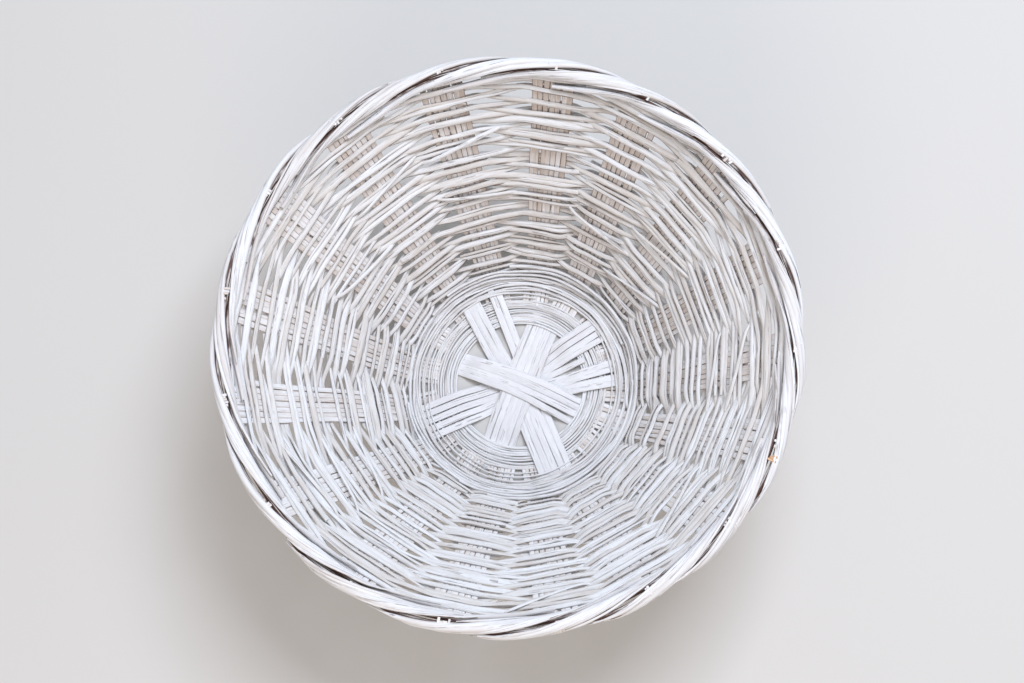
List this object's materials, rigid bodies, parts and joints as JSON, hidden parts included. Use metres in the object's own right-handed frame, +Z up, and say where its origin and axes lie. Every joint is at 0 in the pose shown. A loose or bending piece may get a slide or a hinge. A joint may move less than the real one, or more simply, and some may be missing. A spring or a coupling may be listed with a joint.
{
  "type": "winnowing basket",
  "caption": "Large deep round flared basket, woven of whitewashed cane on a star of flat splints, with a rolled rope-like border.",
  "frame": {"origin": "middle of the underside of the base, on the surface the basket stands on", "axes": "+Z up along the basket's axis, towards the rim"},
  "size_m": [0.6095, 0.6089, 0.255],
  "materials": {
    "wall_cane": "round cane, whitewashed, matt and worn",
    "stake_reed": "flat reed, thinly whitewashed, tan showing through",
    "border_cane": "round cane, whitewashed, worn at the edges",
    "base_cane": "thin round cane, whitewashed, matt",
    "base_splint": "flat splint, thickly whitewashed, matt"
  },
  "bodies": {
    "root": {"base_splints_bottom": "base_splint", "base_splints_second": "base_splint", "base_splints_third": "base_splint", "base_splints_top": "base_splint", "base_weave": "base_cane", "border_strand_01": "border_cane", "border_strand_02": "border_cane", "border_strand_03": "border_cane", "border_strand_04": "border_cane", "border_strand_05": "border_cane", "border_strand_06": "border_cane", "border_strand_07": "border_cane", "border_strand_08": "border_cane", "border_strand_09": "border_cane", "border_strand_10": "border_cane", "border_strand_11": "border_cane", "border_strand_12": "border_cane", "border_strand_13": "border_cane", "border_strand_14": "border_cane", "border_strand_15": "border_cane", "border_strand_16": "border_cane", "border_strand_17": "border_cane", "stake_fan_01": "stake_reed", "stake_fan_02": "stake_reed", "stake_fan_03": "stake_reed", "stake_fan_04": "stake_reed", "stake_fan_05": "stake_reed", "stake_fan_06": "stake_reed", "stake_fan_07": "stake_reed", "stake_fan_08": "stake_reed", "stake_fan_09": "stake_reed", "stake_fan_10": "stake_reed", "stake_fan_11": "stake_reed", "stake_fan_12": "stake_reed", "stake_fan_13": "stake_reed", "stake_fan_14": "stake_reed", "stake_fan_15": "stake_reed", "stake_fan_16": "stake_reed", "stake_fan_17": "stake_reed", "weave_course_01": "wall_cane", "weave_course_02": "wall_cane", "weave_course_03": "wall_cane", "weave_course_04": "wall_cane", "weave_course_05": "wall_cane", "weave_course_06": "wall_cane", "weave_course_07": "wall_cane", "weave_course_08": "wall_cane", "weave_course_09": "wall_cane"}
  },
  "joints": []
}
